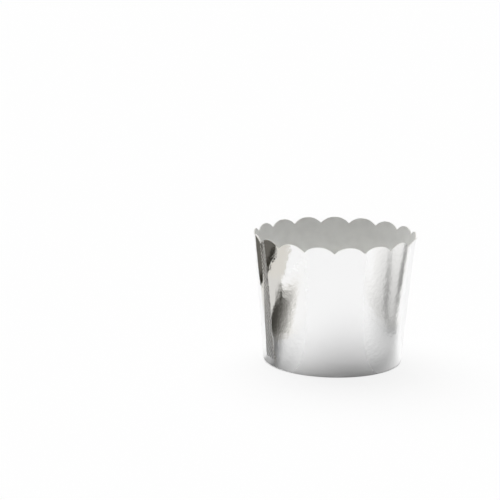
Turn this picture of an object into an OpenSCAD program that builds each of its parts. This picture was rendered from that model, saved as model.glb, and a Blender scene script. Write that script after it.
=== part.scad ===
// Baking cup for a cupcake, made of foil-faced card: a wrapped wall with a scalloped rim
// and a lap seam, and a round base set up inside the foot and held by the wall's folded hem.
// Millimetres. The origin is the centre of the foot, on the surface that the cup stands on.

/* [Cup] */
// Outside diameter at the tips of the scallops
rim_d = 60; // [50:0.5:90]
// Outside diameter at the foot
foot_d = 51.5; // [40:0.5:80]
// Height from the foot to the tips of the scallops
cup_h = 48.5; // [30:0.5:80]
// Thickness of the card
card_t = 0.35; // [0.25:0.05:0.6]

/* [Scalloped rim] */
// Number of scallops round the rim
scallop_count = 17; // [10:1:28]
// Height of a scallop, from its notches to its tip
scallop_h = 2.3; // [1:0.1:3.5]
// Width of the flat at the tip of a scallop
tip_flat_w = 1; // [0.5:0.1:2]
// Direction of one notch, anticlockwise from +X
notch_turn = 267; // [0:1:359]

/* [Lap seam] */
// Width of the lap at the foot, where the wall's two ends are sealed together
lap_w = 6.5; // [5:0.5:10]
// Width of the lap at the rim, narrower because the outer end is cut on a slant
lap_rim_w = 3; // [2.5:0.5:5]
// Width over which the wall steps out on to its own inner end
step_w = 2; // [1.5:0.25:3]
// Direction of the outer end's cut edge at the foot, anticlockwise from +X
lap_turn = 215; // [0:1:359]

/* [Base] */
// Height of the base's underside above the table
recess_h = 4.4; // [3:0.1:8]
// Radius inside the bend between the base and its skirt
base_bend_r = 0.6; // [0.3:0.1:1.2]
// Gap between the hem's cut edge and the underside of the base
hem_gap = 0.7; // [0.3:0.1:1.5]
// Gap between the skirt's cut edge and the bottom of the fold
skirt_gap = 0.15; // [0.05:0.05:0.5]
// Thickness of the seal between two layers of card
seal_t = 0.05; // [0.02:0.01:0.1]

/* [Hidden] */
$fn = 96;

foot_r = foot_d / 2;
rim_r = rim_d / 2;
// Slope of the wall away from upright
lean = atan((rim_r - foot_r) / cup_h);
notch_z = cup_h - scallop_h;

// Outside radii at the foot of the base's skirt and of the hem inside it
skirt_r = foot_r - card_t - seal_t;
hem_r = skirt_r - card_t - seal_t;
hem_top = recess_h - hem_gap;
// The fold is pressed flat, so its outside corners are as round as the card is thick
fold_r = card_t;

// A scallop is an arc from notch to notch, cut off level at the rim's height by a narrow flat
half_pitch = 180 / scallop_count;
half_chord = leaning_r(foot_r, notch_z) * sin(half_pitch);
arc_z = (cup_h + notch_z) / 2 - (half_chord ^ 2 - (tip_flat_w / 2) ^ 2) / (2 * scallop_h);
scallop_r = norm([half_chord, notch_z - arc_z]);

// Angles that the lap and the step take at the foot, and the direction of the inner end
lap_angle = lap_w / foot_r * 180 / PI;
step_angle = step_w / foot_r * 180 / PI;
inner_end_turn = lap_turn - lap_angle;
// Half the angle that the cut edge turns through on its way up, and the direction of its middle
half_slant = (lap_angle - lap_rim_w / rim_r * 180 / PI) / 2;
cut_turn = lap_turn - half_slant;
// Fall of the round wall over the step's width, and a little more, so the step starts under it
step_fall = step_w ^ 2 / (2 * foot_r) + 0.02;
step_slope = (card_t + step_fall) / step_w;
// The lap's outer layer starts above the round corner of the fold
lap_z = 2 * fold_r;

// How far a shape that is trimmed, and what trims it, reach past the trimmed edge
spare = 1;
clear_r = rim_r + card_t + spare;

// Radius at height z of a layer whose radius at the foot is r
function leaning_r(r, z) = r + z * tan(lean);

// Points of an arc round (x, z), from one angle to another
function arc_points(x, z, r, from, to, steps = 4) =
    [for (i = [0 : steps]) let (a = from + (to - from) * i / steps) [x + r * cos(a), z + r * sin(a)]];

// Centre radius of an arc of radius r at height z that touches a leaning layer on its inside
function inside_touch(layer_r, r, z) = leaning_r(layer_r, z) - r / cos(lean);

// Centre radius of an arc of radius r at height z that touches a leaning layer on its outside
function outside_touch(layer_r, r, z) = leaning_r(layer_r, z) + r / cos(lean);

// Section of the wall: down the outside, round the hem folded up in the foot, up the inside
module wall_section() {
    top_z = cup_h + spare;
    hem_inner_r = hem_r - card_t;
    polygon(concat(
        [[leaning_r(foot_r, top_z), top_z]],
        arc_points(inside_touch(foot_r, fold_r, fold_r), fold_r, fold_r, -lean, -90),
        arc_points(outside_touch(hem_inner_r, fold_r, fold_r), fold_r, fold_r, 270, 180 - lean),
        [
            [leaning_r(hem_inner_r, hem_top), hem_top],
            [leaning_r(hem_r, hem_top), hem_top],
            [leaning_r(hem_r, card_t), card_t],
            [leaning_r(foot_r - card_t, card_t), card_t],
            [leaning_r(foot_r - card_t, top_z), top_z],
        ]
    ));
}

// Section of the lap's outer layer, sunk half a card into the turn that it is sealed to
module lap_section() {
    top_z = cup_h + 2 * spare;
    inner_r = foot_r - card_t / 2;
    outer_r = foot_r + card_t;
    polygon([
        [leaning_r(inner_r, lap_z), lap_z],
        [leaning_r(outer_r, lap_z), lap_z],
        [leaning_r(outer_r, top_z), top_z],
        [leaning_r(inner_r, top_z), top_z],
    ]);
}

// Straight prism up the slope of the wall, over the sheet's inner end. Its profile is drawn in
// distance out from the wall's outside and in distance sideways, anticlockwise.
module along_inner_end(profile) {
    rotate([0, 0, inner_end_turn])
        translate([foot_r, 0, 0])
            rotate([0, lean, 0])
                translate([0, 0, lap_z])
                    linear_extrude(cup_h + 2 * spare)
                        polygon(profile);
}

// What is outside the step, where the wall slopes out from one turn to the lap's outer layer
module step_cutter() {
    out = card_t + step_slope * step_w + spare;
    along_inner_end([
        [card_t - step_slope * 2 * step_w, -2 * step_w],
        [out, -2 * step_w],
        [out, step_w],
        [card_t + step_slope * step_w, step_w],
    ]);
}

// Hollow behind the step, up to the inner end's cut edge
module step_hollow() {
    depth = card_t + step_fall;
    along_inner_end([[0, 0], [-depth, -step_w], [-depth, 0]]);
}

// What the slanted cut takes off the lap's outer layer
module end_cutter() {
    foot_y = foot_r * sin(half_slant);
    rim_y = -rim_r * sin(half_slant);
    top_z = cup_h + 3 * spare;
    far_y = foot_y + lap_w;
    start_x = foot_r / 2;
    rotate([0, 0, cut_turn])
        translate([start_x, 0, 0])
            rotate([90, 0, 90])
                linear_extrude(clear_r + spare - start_x)
                    polygon([
                        [foot_y, 0],
                        [far_y, 0],
                        [far_y, top_z],
                        [foot_y + (rim_y - foot_y) * top_z / cup_h, top_z],
                    ]);
}

// Outer layer of the lap, with the step that leads out to it
module lap_layer() {
    difference() {
        rotate([0, 0, inner_end_turn - step_angle])
            rotate_extrude(angle = step_angle + 1.3 * lap_angle)
                lap_section();
        step_cutter();
        end_cutter();
    }
}

// The wrapped sheet with its folded foot and its lap, cut level at the scallops' tips
module wrapped_sheet() {
    difference() {
        union() {
            rotate_extrude()
                wall_section();
            lap_layer();
        }
        step_hollow();
        translate([0, 0, cup_h])
            cylinder(h = 3 * spare, r = clear_r + spare);
    }
}

// What is cut away above the arcs of two scallops, out from the axis towards their notch
module notch_cutter() {
    half_w = half_chord - tip_flat_w / 4;
    start_x = half_w / tan(half_pitch);
    translate([start_x, 0, 0])
        rotate([90, 0, 90])
            linear_extrude(clear_r - start_x)
                difference() {
                    translate([-half_w, notch_z - card_t])
                        square([2 * half_w, scallop_h + card_t + spare]);
                    for (side = [-1, 1])
                        translate([side * half_chord, arc_z])
                            circle(r = scallop_r);
                }
}

module wall() {
    color([0.80, 0.80, 0.81])
        difference() {
            wrapped_sheet();
            for (i = [0 : scallop_count - 1])
                rotate([0, 0, notch_turn + 2 * half_pitch * i])
                    notch_cutter();
        }
}

module base() {
    bend_z = recess_h - base_bend_r;
    bend_outer_r = base_bend_r + card_t;
    bend_x = inside_touch(skirt_r, bend_outer_r, bend_z);
    skirt_z = card_t + skirt_gap;
    color([0.93, 0.93, 0.92])
        rotate_extrude()
            polygon(concat(
                [[0, recess_h], [0, recess_h + card_t]],
                arc_points(bend_x, bend_z, bend_outer_r, 90, -lean),
                [
                    [leaning_r(skirt_r, skirt_z), skirt_z],
                    [leaning_r(skirt_r - card_t, skirt_z), skirt_z],
                ],
                arc_points(bend_x, bend_z, base_bend_r, -lean, 90)
            ));
}

wall();
base();
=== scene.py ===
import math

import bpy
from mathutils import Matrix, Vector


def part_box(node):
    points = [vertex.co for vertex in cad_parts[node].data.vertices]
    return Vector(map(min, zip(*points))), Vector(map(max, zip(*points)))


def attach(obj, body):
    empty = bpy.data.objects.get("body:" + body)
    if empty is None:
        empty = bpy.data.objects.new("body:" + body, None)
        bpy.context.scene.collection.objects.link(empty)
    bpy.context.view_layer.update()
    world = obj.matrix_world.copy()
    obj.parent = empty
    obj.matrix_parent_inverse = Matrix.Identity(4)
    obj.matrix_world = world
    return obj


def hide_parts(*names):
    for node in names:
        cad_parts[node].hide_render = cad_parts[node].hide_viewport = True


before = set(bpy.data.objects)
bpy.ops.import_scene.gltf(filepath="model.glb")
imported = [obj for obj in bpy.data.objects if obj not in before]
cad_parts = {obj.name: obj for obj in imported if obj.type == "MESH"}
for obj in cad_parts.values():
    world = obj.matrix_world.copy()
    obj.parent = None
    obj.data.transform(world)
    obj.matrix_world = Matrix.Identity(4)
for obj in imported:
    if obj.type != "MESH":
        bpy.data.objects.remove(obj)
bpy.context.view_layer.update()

# A cupcake liner: a baking cup of foil-faced card. One scalloped sheet is rolled into the wall, lapped and
# sealed with a knurled bar, and folded in at the foot, where its hem holds a round base of white card.
# Sizes are in millimetres, and the meshes are in metres in the frame of the solids.

MM = 0.001

# Cup, from its solids where they give it
CUP_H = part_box("wall")[1].z / MM
BASE_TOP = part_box("base")[1].z / MM
SKIRT_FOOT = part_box("base")[0].z / MM
FOOT_R = 25.75
RIM_R = 30.0
CARD = 0.35
LEAN = math.atan((RIM_R - FOOT_R) / CUP_H)

# Scalloped rim: arcs from notch to notch, with a narrow level tip. Directions are anticlockwise from +X.
SCALLOPS = 17
SCALLOP_H = 2.3
TIP_W = 1.0
NOTCH_TURN = 267.0
PITCH = 360 / SCALLOPS

# The blank's cells, and the sheet's two ends, in degrees at the rim. The outer end laps over the inner one
# by LAP_CELLS, and both are cut on a slant, so at the foot they lie SLANT degrees further on. The outer end
# rides up a ramp on to the inner end, and comes clear of the fold at the foot over a short rise.
CELLS_PER_SCALLOP = 20
CELL_TURN = PITCH / CELLS_PER_SCALLOP
LAP_CELLS = 11
INNER_END = NOTCH_TURN - 3 * PITCH - 8 * CELL_TURN
OUTER_END = INNER_END + 360 + LAP_CELLS * CELL_TURN
SLANT = 8.5
RAMP_W = 4.5
RAMP_RISE_H = 5.5
LAP_GAP = 0.02
# The seam isn't quite straight: below the middle it strays back by up to this many degrees
SEAM_STRAY = 2.6

# Depth that the rolled sheet lies inside a true cone, and that its dips vary by
SLACK = 0.05
SLACK_WAVE = 0.022

# Print of the knurled sealing bar along the lap: its pitch and depth, its width back from the cut edge, how
# much wider it is near the foot and how much less near the rim, how high it starts, and how far it goes past
# the cut edge there and how high that part is
KNURL_PITCH = 1.3
KNURL_DEPTH = 0.27
KNURL_W = 3.8
KNURL_EXTRA_W = 1.7
KNURL_LESS_W = 1.4
KNURL_FOOT = 3.6
KNURL_SIDE = 0.9
KNURL_SIDE_H = 3.0
# Width of the print's soft border, and how far the bar's teeth leave the cut edge jagged, in degrees
KNURL_BORDER = 0.3
JAG = 0.3

# The scallop that is bent out, in degrees from its middle, and how far
BENT_TURN = NOTCH_TURN + 3.5 * PITCH
BENT_OUT = 25

# Folded foot and the hem inside it
FOLD_R = 0.45
HEM_INNER_R = 24.6
HEM_TOP = 3.7
# How far the inner end is pressed in at the foot, under the lap
SUNK = 0.05

# Base: outside radius of its skirt at the foot and of the bend between them, and its number of sides
SKIRT_R = 25.35
BEND_R = 0.95
BASE_SIDES = 160

# Rows of the flat blank that is rolled into the wall, and the cuts in a cell under the knurled print
WALL_ROWS = 52
KNURL_CUTS = 4


def ease(start, end, x):
    """Rises smoothly from 0 at start to 1 at end."""
    share = min(max((x - start) / (end - start), 0), 1)
    return share * share * (3 - 2 * share)


def leaning_r(foot_r, z):
    """Radius at height z of a layer whose radius at the foot is foot_r."""
    return foot_r + z * math.tan(LEAN)


def arc(r, z, radius, start, end, steps):
    """Points round (r, z) in the section, from one angle to another."""
    angles = [math.radians(start + (end - start) * i / steps) for i in range(steps + 1)]
    return [(r + radius * math.cos(a), z + radius * math.sin(a)) for a in angles]


# Wall

NOTCH_Z = CUP_H - SCALLOP_H
HALF_CHORD = leaning_r(FOOT_R, NOTCH_Z) * math.sin(math.radians(PITCH / 2))
ARC_Z = (CUP_H + NOTCH_Z) / 2 - (HALF_CHORD ** 2 - (TIP_W / 2) ** 2) / (2 * SCALLOP_H)
SCALLOP_R = math.hypot(HALF_CHORD, NOTCH_Z - ARC_Z)


def scallop_top(turn):
    """Height of the cut edge of the rim in one direction."""
    from_notch = (turn - NOTCH_TURN + PITCH / 2) % PITCH - PITCH / 2
    across = HALF_CHORD - RIM_R * abs(math.sin(math.radians(from_notch)))
    return min(CUP_H, ARC_Z + math.sqrt(SCALLOP_R ** 2 - across ** 2))


def folded_foot(sunk):
    """Section of the film from the hem's cut edge round the fold to the wall, sunk into the card."""
    hem_r = HEM_INNER_R + sunk
    wall_r = FOOT_R - sunk
    radius = FOLD_R - sunk
    side = radius / math.cos(LEAN)
    hem = [(leaning_r(hem_r, z), z) for z in (HEM_TOP, 2.9, 2.1, 1.3, 0.8)]
    inner = arc(leaning_r(hem_r, FOLD_R) + side, FOLD_R, radius, 180 - math.degrees(LEAN), 270, 6)
    outer = arc(leaning_r(wall_r, FOLD_R) - side, FOLD_R, radius, -90, -math.degrees(LEAN), 6)
    return hem + inner + outer


COLUMNS = round((OUTER_END - INNER_END) / CELL_TURN)
FOOT_PATH = folded_foot(0)
SUNK_PATH = folded_foot(SUNK)
FOOT_ROWS = len(FOOT_PATH) - 1
ROWS = FOOT_ROWS + WALL_ROWS
# Above this height the rows of cells bend with the scallops
TRIM_Z = CUP_H - 9


def seam_azimuth(turn, up):
    """Direction of a point of the sheet, from its direction at the rim and its share of the way up."""
    stray = SEAM_STRAY * ease(-0.08, 0.27, up) * (1 - ease(0.27, 0.55, up))
    return turn + SLANT * (1 - up) - stray


def lap_lift(turn, z):
    """How far the sheet stands out where its outer end rides up on to its inner end."""
    ramp = math.degrees(RAMP_W / FOOT_R)
    full_turn = INNER_END + 360
    return (CARD + LAP_GAP) * ease(full_turn - ramp, full_turn, turn) * ease(0, RAMP_RISE_H, z)


def slack(azimuth, z):
    """Dips that the sheet keeps from being rolled up, a few hundredths deep."""
    a = math.radians(azimuth)
    waves = math.sin(3 * a + 0.05 * z) + 0.7 * math.sin(5 * a - 0.09 * z + 1)
    waves += 0.4 * math.sin(11 * a + 0.13 * z + 2)
    return (SLACK + SLACK_WAVE * waves) * ease(1, 10, z)


def knurl(turn, z):
    """Share of its full depth that the bar's diamond print has, on the lap and a little beside it."""
    from_edge = OUTER_END - turn if turn > 360 else OUTER_END - 360 - turn
    beside = math.radians(from_edge) * leaning_r(FOOT_R, z)
    print_w = KNURL_W + KNURL_EXTRA_W * (1 - ease(4, 14, z)) - KNURL_LESS_W * ease(24, 36, z)
    print_area = ease(-KNURL_SIDE - KNURL_BORDER, -KNURL_SIDE, beside)
    print_area *= 1 - ease(print_w - 2 * KNURL_BORDER, print_w, beside)
    print_area *= ease(KNURL_FOOT - KNURL_BORDER, KNURL_FOOT + 0.2, z)
    if beside < 0:
        print_area *= 1 - ease(KNURL_FOOT + KNURL_SIDE_H - 0.8, KNURL_FOOT + KNURL_SIDE_H, z)
    diamonds = math.cos(math.tau * beside / KNURL_PITCH) * math.cos(math.tau * z / KNURL_PITCH)
    return print_area * (0.5 + diamonds / 2)


def bent_out(azimuth, z):
    """How far the one bent scallop leans out of the wall."""
    off_middle = abs(azimuth - BENT_TURN) / (PITCH / 2)
    share = 1 - ease(0.75, 1.0, off_middle)
    return share * math.tan(math.radians(BENT_OUT)) * max(0, z - NOTCH_Z)


def on_fold(row, under):
    """Radius and height of a point of the folded foot. under is 1 where the lap covers it, and 0 past it."""
    cell = min(int(row), FOOT_ROWS - 1)
    share = row - cell
    points = [Vector(path[i]) for path in (FOOT_PATH, SUNK_PATH) for i in (cell, cell + 1)]
    return points[0].lerp(points[1], share).lerp(points[2].lerp(points[3], share), under)


def on_wall(turn, azimuth, up, under):
    """Radius and height of a point above the fold, before the dips and the print are pressed in."""
    start_r, start_z = FOOT_PATH[-1]
    z = start_z + (CUP_H - start_z) * up
    z -= (CUP_H - scallop_top(turn)) * max(0, (z - TRIM_Z) / (CUP_H - TRIM_Z))
    sunk = (start_r - SUNK_PATH[-1][0]) * under * (1 - ease(0.4, 2, z))
    return leaning_r(FOOT_R, z) - sunk + lap_lift(turn, z) + bent_out(azimuth, z), z


def rolled(column, row):
    """Place of a point of the flat blank once the sheet is rolled up, lapped and folded."""
    turn = INNER_END + column * CELL_TURN
    under = 1 - ease(OUTER_END - 360 + 0.3, OUTER_END - 360 + 1.5, turn)
    up = max(0, (row - FOOT_ROWS) / WALL_ROWS)
    azimuth = seam_azimuth(turn, up)
    r, z = on_fold(row, under) if row <= FOOT_ROWS else on_wall(turn, azimuth, up, under)
    r -= slack(azimuth, z) + KNURL_DEPTH * knurl(turn, z)
    jag = JAG * math.sin(math.tau * z / KNURL_PITCH) * ease(KNURL_FOOT, KNURL_FOOT + 1, z)
    azimuth += jag * ease(OUTER_END - 1.5, OUTER_END, turn)
    a = math.radians(azimuth)
    return Vector((r * math.cos(a), r * math.sin(a), z)) * MM


def is_printed(column, row):
    """Whether a cell of the blank lies under the sealing bar's print, or within a cell or two of it."""
    turn = INNER_END + column * CELL_TURN
    beside_w = math.degrees((KNURL_SIDE + KNURL_BORDER) / FOOT_R)
    z = CUP_H * (row - FOOT_ROWS) / WALL_ROWS
    if z < KNURL_FOOT - 1:
        return False
    on_lap = turn > INNER_END + 360 - 1
    edge = OUTER_END - 360
    beside = edge < turn < edge + beside_w + CELL_TURN and z < KNURL_FOOT + KNURL_SIDE_H + 1
    return on_lap or beside


def edit(piece, pick, mode="FACE"):
    """Opens an object in edit mode with only the faces, or edges, that pick accepts selected."""
    bpy.ops.object.mode_set(mode="OBJECT")
    data = piece.data
    for part in (*data.vertices, *data.edges, *data.polygons):
        part.select = False
    for part in data.polygons if mode == "FACE" else data.edges:
        part.select = pick(part)
    bpy.context.tool_settings.mesh_select_mode = [mode == kind for kind in ("VERT", "EDGE", "FACE")]
    bpy.ops.object.mode_set(mode="EDIT")


def start_piece(name):
    """Names the primitive that was just added, which is then the only object selected."""
    piece = bpy.context.object
    piece.name = name
    piece.data.name = name
    return piece


def give_thickness(piece, inside_slot, edge_slot):
    """Makes a sheet one card thick, inwards, with its inside and its cut edges in other finishes."""
    solidify = piece.modifiers.new("card", "SOLIDIFY")
    solidify.thickness = CARD * MM
    solidify.offset = -1
    solidify.use_even_offset = True
    solidify.use_quality_normals = True
    solidify.material_offset = inside_slot
    solidify.material_offset_rim = edge_slot
    bpy.ops.object.modifier_apply(modifier=solidify.name)


def smooth(piece):
    """Shades a piece smooth but for its cut edges."""
    for polygon in piece.data.polygons:
        polygon.use_smooth = True
    bpy.ops.object.shade_smooth_by_angle(angle=math.radians(40))


def make_wall():
    bpy.ops.object.select_all(action="DESELECT")
    bpy.ops.mesh.primitive_grid_add(x_subdivisions=COLUMNS, y_subdivisions=ROWS, size=1)
    wall = start_piece("wrapped_wall")

    def printed(face):
        return is_printed((face.center.x + 0.5) * COLUMNS, (face.center.y + 0.5) * ROWS)

    edit(wall, printed)
    bpy.ops.mesh.subdivide(number_cuts=KNURL_CUTS)
    bpy.ops.object.mode_set(mode="OBJECT")
    # The print's depth, which also sets the painted shade in the film's colour in the print's hollows
    pressed = wall.data.attributes.new("pressed", "FLOAT", "POINT")
    for vertex in wall.data.vertices:
        column = (vertex.co.x + 0.5) * COLUMNS
        vertex.co = rolled(column, (vertex.co.y + 0.5) * ROWS)
        pressed.data[vertex.index].value = knurl(INNER_END + column * CELL_TURN, vertex.co.z / MM)
    for finish in (silver_film(), bleached_paper(), cut_card()):
        wall.data.materials.append(finish)
    give_thickness(wall, 1, 2)
    # The blank is cut square to its face, and the tips of the scallops are level
    for vertex in wall.data.vertices:
        vertex.co.z = min(vertex.co.z, CUP_H * MM)
    smooth(wall)
    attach(wall, "root")
    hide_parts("wall")


# Base

def make_base():
    bpy.ops.object.select_all(action="DESELECT")
    foot_r = leaning_r(SKIRT_R, SKIRT_FOOT)
    top_r = leaning_r(SKIRT_R, BASE_TOP)
    bpy.ops.mesh.primitive_circle_add(
        vertices=BASE_SIDES, radius=foot_r * MM, fill_type="NOTHING", location=(0, 0, SKIRT_FOOT * MM)
    )
    base = start_piece("base_round")
    bpy.ops.object.transform_apply(location=True, rotation=False, scale=False)
    edit(base, lambda edge: True, "EDGE")
    # Up the skirt, and then inwards in two rings round a last face
    for rise, share in ((BASE_TOP - SKIRT_FOOT, top_r / foot_r), (0, 0.76), (0, 0.5)):
        bpy.ops.mesh.extrude_region_move(TRANSFORM_OT_translate={"value": (0, 0, rise * MM)})
        bpy.ops.transform.resize(value=(share, share, 1))
    bpy.ops.mesh.edge_face_add()
    bpy.ops.mesh.select_all(action="SELECT")
    bpy.ops.mesh.normals_make_consistent(inside=False)

    def on_corner(edge):
        ends = [base.data.vertices[i].co / MM for i in edge.vertices]
        return all(end.z > BASE_TOP - 0.01 and end.xy.length > top_r - 0.1 for end in ends)

    edit(base, on_corner, "EDGE")
    bpy.ops.mesh.bevel(offset=BEND_R * MM, segments=5, affect="EDGES")
    bpy.ops.object.mode_set(mode="OBJECT")
    for finish in (bleached_paper(), cut_card()):
        base.data.materials.append(finish)
    give_thickness(base, 0, 1)
    smooth(base)
    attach(base, "root")
    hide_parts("base")


# Materials

def linear(levels):
    """sRGB levels from 0 to 1 to the linear colour that nodes take."""
    return (*[x / 12.92 if x <= 0.04045 else ((x + 0.055) / 1.055) ** 2.4 for x in levels], 1)


def colour(hex_text):
    """Linear colour of an sRGB hex value."""
    return linear([int(hex_text[i:i + 2], 16) / 255 for i in (1, 3, 5)])


def grey(level, warm):
    """Linear colour of a grey from 0 to 255, with its green and blue less by a little and by warm."""
    return linear([max(0, level - less) / 255 for less in (0, 0.3 * warm, warm)])


def add_node(tree, kind, settings=None, links=None):
    """Adds a node, sets its sockets or properties by name, and links its inputs from other sockets."""
    made = tree.nodes.new(kind)
    for name, value in (settings or {}).items():
        if name in made.inputs:
            made.inputs[name].default_value = value
        else:
            setattr(made, name, value)
    for name, source in (links or {}).items():
        tree.links.new(source, made.inputs[name])
    return made


def add_ramp(tree, source, stops):
    """A colour ramp through (position, sRGB hex) stops."""
    ramp = add_node(tree, "ShaderNodeValToRGB", links={"Fac": source})
    elements = ramp.color_ramp.elements
    while len(elements) < len(stops):
        elements.new(0.5)
    for element, (position, shade) in zip(elements, stops):
        element.position = position
        element.color = colour(shade)
    return ramp.outputs["Color"]


def new_finish(name):
    """An empty material with its output node."""
    material = bpy.data.materials.new(name)
    material.use_nodes = True
    material.node_tree.nodes.clear()
    return material, material.node_tree, add_node(material.node_tree, "ShaderNodeOutputMaterial")


def silver_film():
    # Aluminium vapour on polyester film, laminated to card: a soft-edged mirror. The film follows the card's
    # fibres and the roller's print, so its reflections waver every millimetre or so. The fibres are drawn a
    # few times too coarse, so that they show. The print's hollows are darkened in the film's colour, most
    # where the bar's teeth pressed deepest: painted shade in the recesses.
    material, tree, output = new_finish("metallised_film")
    place = add_node(tree, "ShaderNodeTexCoord").outputs["Object"]
    peel = add_node(tree, "ShaderNodeTexNoise", {"Scale": 1 / (1.8 * MM), "Detail": 2}, {"Vector": place})
    fibres = add_node(tree, "ShaderNodeTexNoise", {"Scale": 1 / (0.6 * MM), "Detail": 2}, {"Vector": place})
    waver = add_node(tree, "ShaderNodeBump", {"Distance": 0.08 * MM}, {"Height": peel.outputs["Fac"]})
    grain = add_node(
        tree, "ShaderNodeBump", {"Distance": 0.022 * MM},
        {"Height": fibres.outputs["Fac"], "Normal": waver.outputs["Normal"]},
    )
    pressed = add_node(tree, "ShaderNodeAttribute", {"attribute_name": "pressed"})
    # Painted shade: the film's colour darkens with the print's depth, into its hollows
    tint = add_ramp(tree, pressed.outputs["Fac"], [(0.0, "#F9F9F9"), (0.9, "#A8A8A6")])
    film = add_node(
        tree, "ShaderNodeBsdfPrincipled",
        {"Metallic": 1.0, "Roughness": 0.09},
        {"Base Color": tint, "Normal": grain.outputs["Normal"]},
    )
    tree.links.new(film.outputs["BSDF"], output.inputs["Surface"])
    return material


def bleached_paper():
    # Bleached board, uncoated and calendered: matt white with a faint cloudiness and a fine fibrous surface,
    # whose fibres are drawn a few times too coarse, so that they show.
    if "bleached_board" in bpy.data.materials:
        return bpy.data.materials["bleached_board"]
    material, tree, output = new_finish("bleached_board")
    place = add_node(tree, "ShaderNodeTexCoord").outputs["Object"]
    clouds = add_node(tree, "ShaderNodeTexNoise", {"Scale": 1 / (4 * MM), "Detail": 3}, {"Vector": place})
    fibres = add_node(
        tree, "ShaderNodeTexNoise",
        {"Scale": 1 / (0.6 * MM), "Detail": 4, "Distortion": 1.5},
        {"Vector": place},
    )
    tint = add_ramp(tree, clouds.outputs["Fac"], [(0.35, "#F3F3F1"), (0.65, "#FAFAF8")])
    relief = add_node(tree, "ShaderNodeBump", {"Distance": 0.02 * MM}, {"Height": fibres.outputs["Fac"]})
    paper = add_node(
        tree, "ShaderNodeBsdfPrincipled",
        {"Roughness": 0.85, "Specular IOR Level": 0.3},
        {"Base Color": tint, "Normal": relief.outputs["Normal"]},
    )
    tree.links.new(paper.outputs["BSDF"], output.inputs["Surface"])
    return material


def cut_card():
    # Die-cut edge of the board: raw white fibres, a little greyer than the calendered face, drawn coarse too.
    if "cut_board" in bpy.data.materials:
        return bpy.data.materials["cut_board"]
    material, tree, output = new_finish("cut_board")
    place = add_node(tree, "ShaderNodeTexCoord").outputs["Object"]
    fibres = add_node(tree, "ShaderNodeTexNoise", {"Scale": 1 / (0.3 * MM), "Detail": 4}, {"Vector": place})
    tint = add_ramp(tree, fibres.outputs["Fac"], [(0.3, "#DEDCD6"), (0.7, "#F4F3EF")])
    relief = add_node(tree, "ShaderNodeBump", {"Distance": 0.03 * MM}, {"Height": fibres.outputs["Fac"]})
    edge = add_node(
        tree, "ShaderNodeBsdfPrincipled",
        {"Roughness": 0.95, "Specular IOR Level": 0.2},
        {"Base Color": tint, "Normal": relief.outputs["Normal"]},
    )
    tree.links.new(edge.outputs["BSDF"], output.inputs["Surface"])
    return material


# Studio

# Share of even white in the floor, as the camera and the film see it. The rest is lit and keeps the shadow.
FLOOR_TO_CAMERA = 0.84
FLOOR_TO_FILM = 0.03
# The tent's light on matt surfaces. The camera sees it white, and the film sees these greys from its foot
# (0) to straight up (1).
SKY = 0.18
TENT = [
    (0.0, "#FFFFFF"), (0.06, "#F0F0F0"), (0.15, "#8E8D8A"),
    (0.3, "#4E4D4A"), (0.6, "#5E5D5A"), (1.0, "#CFCFCF"),
]
# Strength and direction of the overhead light
SUN = 3.0
SUN_WAY = (0.13, -0.46, -1)
# How much of a white card's light the film gives back, and the grey of one as the camera sees it there
FILM_WHITE = 0.94
WHITE = 248
# Where the cards right and left of the cup stand, where their floor part starts, and how low it lies
RIGHT_X = 60
LEFT_X = -45
CARD_START_R = 26
CARD_LOW_Z = 0.3
# Where the tall card and the hung one stand behind the left one, and where those behind the cup stand
TALL_X = -70
HUNG_X = -60
BACK_Y = 62
BACK_H = 56
# The photograph's view: a long lens, 12 degrees down, with the cup right of and below its middle
LENS = 113.04
SENSOR_W = 36
CAMERA_PLACE = (-31.3, -569.1, 162.1)
CAMERA_DOWN = 11.99
CAMERA_ROLL = 0.69


def light_path_share(tree, shares):
    """Sum of ray kinds, each times its share."""
    path = add_node(tree, "ShaderNodeLightPath")
    total = None
    for ray, share in shares.items():
        step = add_node(tree, "ShaderNodeMath", {"operation": "MULTIPLY_ADD"})
        tree.links.new(path.outputs[ray], step.inputs[0])
        step.inputs[1].default_value = share
        step.inputs[2].default_value = 0
        if total:
            tree.links.new(total.outputs[0], step.inputs[2])
        total = step
    return total.outputs[0]


def make_floor():
    bpy.ops.object.select_all(action="DESELECT")
    bpy.ops.mesh.primitive_plane_add(size=8, location=(0, 0, -0.02 * MM))
    floor = start_piece("floor")
    material, tree, output = new_finish("white_sweep")
    matt = add_node(tree, "ShaderNodeBsdfDiffuse", {"Color": colour("#F6F6F6")})
    glow = add_node(tree, "ShaderNodeEmission", {"Color": colour("#FFFFFF"), "Strength": 1.0})
    shares = {
        "Is Camera Ray": FLOOR_TO_CAMERA,
        "Is Glossy Ray": FLOOR_TO_FILM,
        "Is Transmission Ray": FLOOR_TO_FILM,
    }
    both = add_node(tree, "ShaderNodeMixShader", links={"Fac": light_path_share(tree, shares)})
    tree.links.new(matt.outputs["BSDF"], both.inputs[1])
    tree.links.new(glow.outputs["Emission"], both.inputs[2])
    tree.links.new(both.outputs["Shader"], output.inputs["Surface"])
    floor.data.materials.append(material)


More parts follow.
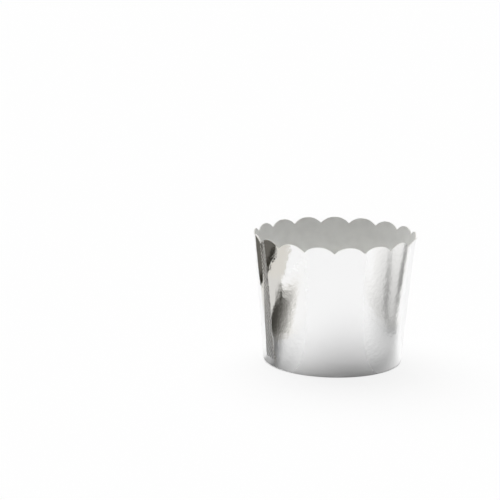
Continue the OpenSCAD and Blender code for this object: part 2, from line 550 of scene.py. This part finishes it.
def make_sky():
    """A white tent: even for the camera, dimmer on matt surfaces, and dark over its foot in the film."""
    world = bpy.data.worlds.new("white_tent")
    bpy.context.scene.world = world
    world.use_nodes = True
    tree = world.node_tree
    tree.nodes.clear()
    direction = add_node(tree, "ShaderNodeTexCoord").outputs["Generated"]
    upward = add_node(tree, "ShaderNodeSeparateXYZ", links={"Vector": direction})
    mirrored = light_path_share(tree, {"Is Glossy Ray": 1})
    lit = add_node(
        tree, "ShaderNodeMixRGB", {"Color1": (SKY, SKY, SKY, 1)},
        {"Fac": mirrored, "Color2": add_ramp(tree, upward.outputs["Z"], TENT)},
    )
    shown = light_path_share(tree, {"Is Camera Ray": 1, "Is Transmission Ray": 1})
    seen = add_node(
        tree, "ShaderNodeMixRGB", {"Color2": colour("#FFFFFF")},
        {"Fac": shown, "Color1": lit.outputs["Color"]},
    )
    glow = add_node(tree, "ShaderNodeBackground", {"Strength": 1.0}, {"Color": seen.outputs["Color"]})
    output = add_node(tree, "ShaderNodeOutputWorld")
    tree.links.new(glow.outputs["Background"], output.inputs["Surface"])


def make_sun():
    """A broad overhead light, a little behind the cup, so that the floor before it is in soft shade."""
    bpy.ops.object.light_add(type="SUN", location=(0, 0.3, 1))
    lamp = bpy.context.object
    lamp.name = "overhead_light"
    lamp.data.energy = SUN
    lamp.data.angle = math.radians(60)
    lamp.rotation_euler = Vector(SUN_WAY).to_track_quat("-Z", "Y").to_euler()
    lamp.visible_glossy = False


def lift(level, towards, share):
    """A number, such as a grey level, moved a share of the way to another."""
    return level + (towards - level) * share


def hump(x, middle, half_w):
    """A soft hump, 1 at its middle."""
    return math.exp(-((x - middle) / half_w) ** 2)


def flag(name, warm, columns, rows, place, tone):
    """A glowing card beside the cup that only the film mirrors: its greys are painted reflections, and on its
    floor part, where it has one, a painted shadow of the cup. place gives its points in millimetres, from a
    share across and a share up. tone gives the grey at a point as the camera sees it in the film, up to
    WHITE, and off the floor the greys are warmer than neutral by up to warm levels."""
    bpy.ops.object.select_all(action="DESELECT")
    bpy.ops.mesh.primitive_grid_add(x_subdivisions=columns, y_subdivisions=rows, size=1)
    card = start_piece(name)
    tones = card.data.color_attributes.new(name="tone", type="FLOAT_COLOR", domain="POINT")
    for vertex in card.data.vertices:
        point = place(vertex.co.x + 0.5, vertex.co.y + 0.5)
        level = min(WHITE, tone(*point))
        off_white = min(warm * ease(CARD_LOW_Z, 3, point[2]), (WHITE - level) / 3)
        vertex.co = Vector(point) * MM
        tones.data[vertex.index].color = grey(level, off_white)
    material, tree, output = new_finish(name)
    tone_node = add_node(tree, "ShaderNodeVertexColor", {"layer_name": "tone"})
    # Painted reflection: the card glows with its greys, and nothing but the film sees it
    glow = add_node(
        tree, "ShaderNodeEmission", {"Strength": 1 / FILM_WHITE}, {"Color": tone_node.outputs["Color"]}
    )
    tree.links.new(glow.outputs["Emission"], output.inputs["Surface"])
    card.data.materials.append(material)
    for ray in ("camera", "diffuse", "transmission", "volume_scatter", "shadow"):
        setattr(card, "visible_" + ray, False)


def folded_card(x, from_turn, to_turn, top_z):
    """Place of a card that lies on the floor from the cup's foot out to x, and stands up there."""
    def place(across, up):
        turn = math.radians(lift(from_turn, to_turn, across))
        if up < 0.5:
            r = lift(CARD_START_R, x / math.cos(turn), 2 * up)
            return r * math.cos(turn), r * math.sin(turn), CARD_LOW_Z
        return x, x * math.tan(turn), lift(CARD_LOW_Z, top_z, 2 * up - 1)
    return place


def upright_card(x, outline):
    """Place of a card that stands at x, from (y, y, z) of its two sides at rising heights."""
    def place(across, up):
        row = min(int(up * (len(outline) - 1)), len(outline) - 2)
        share = up * (len(outline) - 1) - row
        start_y, end_y, z = [lift(a, b, share) for a, b in zip(outline[row], outline[row + 1])]
        return x, lift(start_y, end_y, across), z
    return place


def back_card(start_x, end_x):
    """Place of a card that stands behind the cup."""
    def place(across, up):
        return lift(start_x, end_x, across), BACK_Y, BACK_H * up
    return place


def hung_edge(y):
    """Height of the hung card's lower edge, which rises towards the cup's near side."""
    return 13 + 21 * (1 - ease(-34, 44, y))


def hung_card(across, up):
    """Place of the card that hangs before the tall one's far end."""
    y = lift(-16, 90, across)
    return HUNG_X, y, lift(hung_edge(y), 54, up)


def foot_shade(x, y, depth, start_r, fade_w):
    """Grey of the floor in the cup's own shade, which fades outwards from its foot."""
    return WHITE - depth * math.exp((start_r - math.hypot(x, y)) / fade_w)


def turn_of(x, y):
    """Direction of a point from the cup's axis, from -180 to 180."""
    return math.degrees(math.atan2(y, x))


def right_tone(x, y, z):
    """A pale panel with a rounded foot and a dark line down each side, and the cup's shade on its floor."""
    # The panel's two side lines come together at its foot, and it is lighter towards its top
    near = -28 + 0.12 * (38 - z) + 20 * (1 - ease(-3, 9, z))
    far = -4 + 0.28 * z
    panel = 186 + 1.4 * z
    panel = lift(panel, lift(238, WHITE, ease(0, 20, z)), ease(0, max(42, 75 - 3 * z), near - y))
    panel = lift(panel, WHITE, ease(0, 10, y - far))
    panel -= (18 + 30 * ease(0, 12, z) - 35 * ease(18, 38, z)) * hump(y, near, 5)
    panel -= (12 + 70 * ease(4, 24, z)) * hump(y, far, 5)
    # The shade is that of the open floor at the card's near side, flatter before the panel, and white past it
    shade = 164 + 32 * ease(28, 48, math.hypot(x, y))
    shade = lift(foot_shade(x, y, 88, 32, 18), shade, ease(-53, -14, turn_of(x, y)))
    shade = lift(shade, WHITE, ease(-11, 11, y + 12 - 0.6 * (x - 25)))
    # Painted shadow: a dark line along the panel's foot, where it meets the floor
    panel_foot_shadow = 28 * hump(RIGHT_X - x + z, 0, 3.5) * ease(-28, -12, y) * (1 - ease(0, 10, y))
    return lift(shade, panel, ease(0, 6, z)) - panel_foot_shadow


def left_tone(x, y, z):
    """A dark patch with a streak over it, a pale stretch above, and the cup's shade on its floor."""
    # The shade has a streak that widens outwards, and meets that of the open floor at both ends
    turn = turn_of(x, y) % 360
    out = min(1, max(0, (-x - 24) / 16)) ** 2
    shade = foot_shade(x, y, 68 - 13 * ease(218, 233, turn), 30, 17)
    shade -= (45 + 65 * out) * hump(y, -13 + 8 * out, 2.5 + 7.5 * out)
    shade = lift(240, shade, ease(176, 191, turn))
    # The upright part is dark low down at its far side, fades to white at its near side, and is pale above
    pale = lift(245, 212, ease(-23, -20, y))
    patch = lift(60, 245, ease(-5, 33, -0.95 * z - y))
    patch = lift(patch, pale, ease(14, 24, z))
    patch = lift(patch, pale, ease(0, 3.5, y + 3 + 12 * ease(8, 20, z)) * ease(8, 12, z))
    patch -= 90 * hump(y, -20, 2.2) * ease(15, 19, z) * (1 - ease(20, 26, z))
    return lift(shade, patch, ease(0, 6, z))


def tall_tone(x, y, z):
    """Even, and white at its far side."""
    return lift(214, 246, ease(36, 52, y))


def hung_tone(x, y, z):
    """Dark, and darkest along its lower edge."""
    return lift(42, 98, ease(3, 6, z - hung_edge(y)))


def make_flags():
    flag("flag_right", 2, 60, 60, folded_card(RIGHT_X, -53, 24, 40), right_tone)
    flag("flag_left_low", 6, 60, 60, folded_card(LEFT_X, 178, 233, 27), left_tone)
    # Behind the low card, a tall pale one with a slanted near side, and a dark one hung over its far end
    pale = [(90, -9.5, 0), (90, -18, 8), (90, -24, 12), (90, -30, 17.4), (90, -36, 23), (90, -43, 26.6),
            (90, -58, 36), (90, -65, 45)]
    flag("flag_left_tall", 10, 24, 7, upright_card(TALL_X, pale), tall_tone)
    flag("flag_left_top", 8, 40, 30, hung_card, hung_tone)
    # Behind the cup, a dark card and a pale one that give its back something to mirror
    flag("flag_back", 2, 20, 4, back_card(-24, -7), lambda x, y, z: 100)
    flag("flag_back_pale", 2, 20, 4, back_card(6, 26), lambda x, y, z: 195)


def make_camera():
    bpy.ops.object.camera_add()
    camera = bpy.context.object
    camera.data.lens = LENS
    camera.data.sensor_width = SENSOR_W
    tilt = Matrix.Rotation(math.radians(90 - CAMERA_DOWN), 4, "X")
    roll = Matrix.Rotation(math.radians(CAMERA_ROLL), 4, "Z")
    camera.matrix_world = Matrix.Translation(Vector(CAMERA_PLACE) * MM) @ tilt @ roll
    bpy.context.scene.camera = camera


make_wall()
make_base()
make_floor()
make_sky()
make_sun()
make_flags()
make_camera()
bpy.context.scene.view_settings.view_transform = "Standard"
